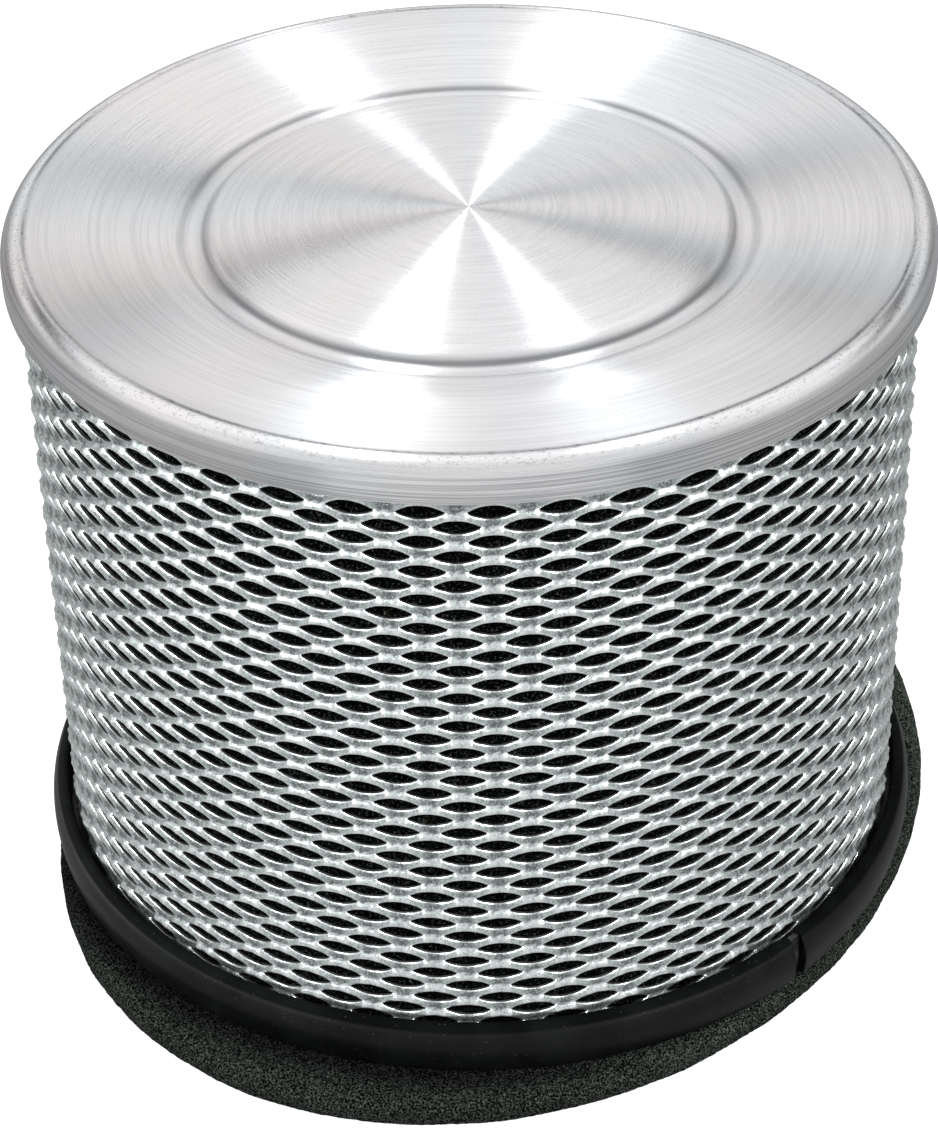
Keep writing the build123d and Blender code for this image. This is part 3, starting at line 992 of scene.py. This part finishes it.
# ----------------------------------------- finishes of the CAD's own pieces
finishes = {
    "cap_potting": set_adhesive(
        "cap_adhesive", low=(0.010, 0.010, 0.010), high=(0.030, 0.029, 0.027)
    ),
    "foam_wrap": filter_foam(
        "wrap_foam",
        dark=(0.0008, 0.0012, 0.0009),
        light=(0.098, 0.112, 0.092),
        scale=1.9,
        depth=0.3,
        sparse=0.52,
    ),
    "foam_wrap_seam": set_adhesive(
        "wrap_seam_adhesive", low=(0.02, 0.018, 0.015), high=(0.06, 0.055, 0.045), rough=0.45
    ),
    "pleated_media": filter_paper("filter_paper"),
    "media_seam_clip": plated_steel(
        "tinplate", low=(0.50, 0.50, 0.48), high=(0.66, 0.66, 0.64), rough=0.25
    ),
    "inner_core": plated_steel(
        "core_steel", low=(0.42, 0.44, 0.44), high=(0.62, 0.63, 0.63), rough=0.3
    ),
    "base_pan": black_enamel("black_enamel"),
    "base_potting": set_adhesive(
        "base_adhesive", low=(0.004, 0.004, 0.004), high=(0.012, 0.012, 0.012), rough=0.35
    ),
    "gasket_adhesive": set_adhesive(
        "contact_adhesive", low=(0.05, 0.045, 0.035), high=(0.10, 0.09, 0.07), rough=0.5
    ),
}
for piece, finish in finishes.items():
    assign(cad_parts[piece], finish)


# ---------------------------------------------------------------- the studio
def pale_floor(name):
    """Pale grey that looks almost white to the camera but lights the drum little."""
    mat = Material(name)
    tone_mix = mat.noise(mat.mm(), scale=0.02, detail=3.0)
    seen = mat.node("ShaderNodeLightPath").outputs["Is Camera Ray"]
    return mat.set(
        Base_Color=mat.mix(tone_mix, (0.27, 0.27, 0.27), (0.29, 0.29, 0.29)),
        Roughness=0.9,
        Specular_IOR_Level=0.1,
        Emission_Color=(1, 1, 1),
        Emission_Strength=mat.lerp(seen, 0.02, 0.92),
    )


def build_floor(radius=6, segments=96, drop=0.0002):
    """A disc, in metres, just under the pad."""
    angles = [TAU * k / segments for k in range(segments)]
    verts = [(0, 0, 0)] + [(radius * math.cos(a), radius * math.sin(a), 0) for a in angles]
    faces = [(0, k + 1, (k + 1) % segments + 1) for k in range(segments)]
    me = bpy.data.meshes.new("floor")
    me.from_pydata(verts, [], faces)
    ob = add_object("floor", me)
    ob.location.z = -drop
    assign(ob, pale_floor("pale_floor"))


def build_world():
    """White to the camera; a soft studio in reflections and as light."""
    world = bpy.data.worlds.new("studio")
    bpy.context.scene.world = world
    world.use_nodes = True
    sky = Graph(world.node_tree)
    x, y, z = sky.xyz(sky.node("ShaderNodeTexCoord").outputs["Generated"])
    # brighter overhead than at the horizon, most of all towards the back
    up = sky.step(z, edges=(-0.05, 0.75))
    back = sky.step(y, edges=(-0.6, 0.7))
    level = sky.add(sky.lerp(back, 0.64, 0.60), sky.mul(up, sky.lerp(back, 0.12, 0.50)))
    # dim low down on the left and right
    low = sky.mul(
        sky.step(z, edges=(0.38, 0.05)), sky.step(sky.math("ABSOLUTE", x), edges=(0.30, 0.75))
    )
    level = sky.mul(level, sky.math("SUBTRACT", 1.0, sky.mul(low, 0.80)))
    # a darker band part way up the back, weaker in the middle
    back_half = sky.step(y, edges=(0.1, 0.45), levels=(0.0, 0.85))
    off_middle = sky.step(sky.math("ABSOLUTE", x), edges=(0.05, 0.25), levels=(0.35, 1.0))
    gap = sky.mul(sky.bell(z, centre=0.56, width=0.07), sky.mul(back_half, off_middle))
    level = sky.mul(level, sky.math("SUBTRACT", 1.0, gap))

    studio = sky.node("ShaderNodeBackground")
    warmth = 1.006  # of red over green and blue
    sky.fill(studio, Color=sky.vec(sky.mul(level, warmth), level, level), Strength=1.0)
    backdrop = sky.node("ShaderNodeBackground")
    sky.fill(backdrop, Color=(1, 1, 1), Strength=1.0)
    choice = sky.node("ShaderNodeMixShader")
    seen = sky.node("ShaderNodeLightPath").outputs["Is Camera Ray"]
    for socket, output in zip(choice.inputs, (seen, studio.outputs[0], backdrop.outputs[0])):
        sky.link(output, socket)
    sky.link(choice.outputs[0], sky.node("ShaderNodeOutputWorld").inputs[0])


def softbox(name, direction, distance, size, power, receivers=None):
    """A (width, height) area light aimed at the drum's middle; metres and watts."""
    light = bpy.data.lights.new(name, "AREA")
    light.shape = "RECTANGLE"
    light.size, light.size_y = size
    light.energy = power
    ob = add_object(name, light)
    toward = Vector(direction).normalized()
    ob.location = Vector((0, 0, 0.06)) + toward * distance
    ob.rotation_mode = "QUATERNION"
    ob.rotation_quaternion = toward.to_track_quat("Z", "Y")
    if receivers is not None:
        ob.light_linking.receiver_collection = receivers


def lit_group(name, objects):
    group = bpy.data.collections.new(name)
    for ob in objects:
        group.objects.link(ob)
    return group


def build_lights():
    not_cap = [ob for ob in bpy.data.objects if ob.type == "MESH" and ob != cap]
    rest = lit_group("lit_by_front_boxes", not_cap)
    cap_only = lit_group("lit_by_low_strip", [cap])
    trim_only = lit_group("lit_by_side_box", [trim])
    sleeve_only = lit_group("lit_by_sleeve_boxes", [sleeve])
    # (name, direction, distance, (width, height), power, what it lights)
    boxes = (
        # two small boxes high up behind
        ("box_left", (-0.135, 0.42, 0.897), 1.4, (0.145, 0.145), 1.75, None),
        ("box_right", (0.176, 0.42, 0.890), 1.4, (0.105, 0.105), 0.92, None),
        # a strip in front of the skirt, too low to reach the flat of the cap
        ("skirt_front", (0.0, -1.0, -0.02), 1.3, (1.7, 0.05), 1.9, cap_only),
        ("side_left", (-0.88, 0.40, 0.20), 1.2, (0.9, 0.22), 15.0, trim_only),
        ("sleeve_left", (-0.93, -0.12, 0.20), 1.3, (0.45, 0.40), 0.7, sleeve_only),
        ("sleeve_right", (0.93, -0.18, 0.20), 1.3, (0.45, 0.40), 0.25, sleeve_only),
        # these light everything but the cap, whose turned grain would draw each of
        # them out into another pair of rays
        ("front_left", (-0.62, -0.52, 0.60), 1.3, (0.40, 0.40), 14.0, rest),
        ("front_right", (0.60, -0.55, 0.60), 1.3, (0.40, 0.40), 12.5, rest),
    )
    for box in boxes:
        softbox(*box)


# ---------------------------------------------------------------- the camera
CAMERA_PLACE = (0.0, -0.454586746, 0.374045100)  # metres
CAMERA_PITCH = 0.620203855  # radians below the horizon
CAMERA_YAW = -0.00253247508
CAMERA_ROLL = 0.0227457955
CAMERA_LENS = 109.073997
SENSOR_WIDTH = 36.0


def build_camera():
    data = bpy.data.cameras.new("camera")
    ob = add_object("camera", data)
    sin_yaw, cos_yaw = math.sin(CAMERA_YAW), math.cos(CAMERA_YAW)
    sin_pitch, cos_pitch = math.sin(CAMERA_PITCH), math.cos(CAMERA_PITCH)
    sin_roll, cos_roll = math.sin(CAMERA_ROLL), math.cos(CAMERA_ROLL)
    forward = np.array([sin_yaw * cos_pitch, cos_yaw * cos_pitch, -sin_pitch])
    level_right = np.array([cos_yaw, -sin_yaw, 0.0])
    level_down = np.cross(forward, level_right)
    right = cos_roll * level_right + sin_roll * level_down
    down = -sin_roll * level_right + cos_roll * level_down
    rows = np.column_stack([right, -down, -forward, CAMERA_PLACE]).tolist()
    ob.matrix_world = Matrix(rows + [[0, 0, 0, 1]])
    data.sensor_width = SENSOR_WIDTH
    data.lens = CAMERA_LENS
    data.clip_start, data.clip_end = 0.01, 50
    bpy.context.scene.camera = ob


build_floor()
build_world()
build_lights()
build_camera()

view = bpy.context.scene.view_settings
view.view_transform = "Standard"
view.look = "None"
view.exposure = 0.0
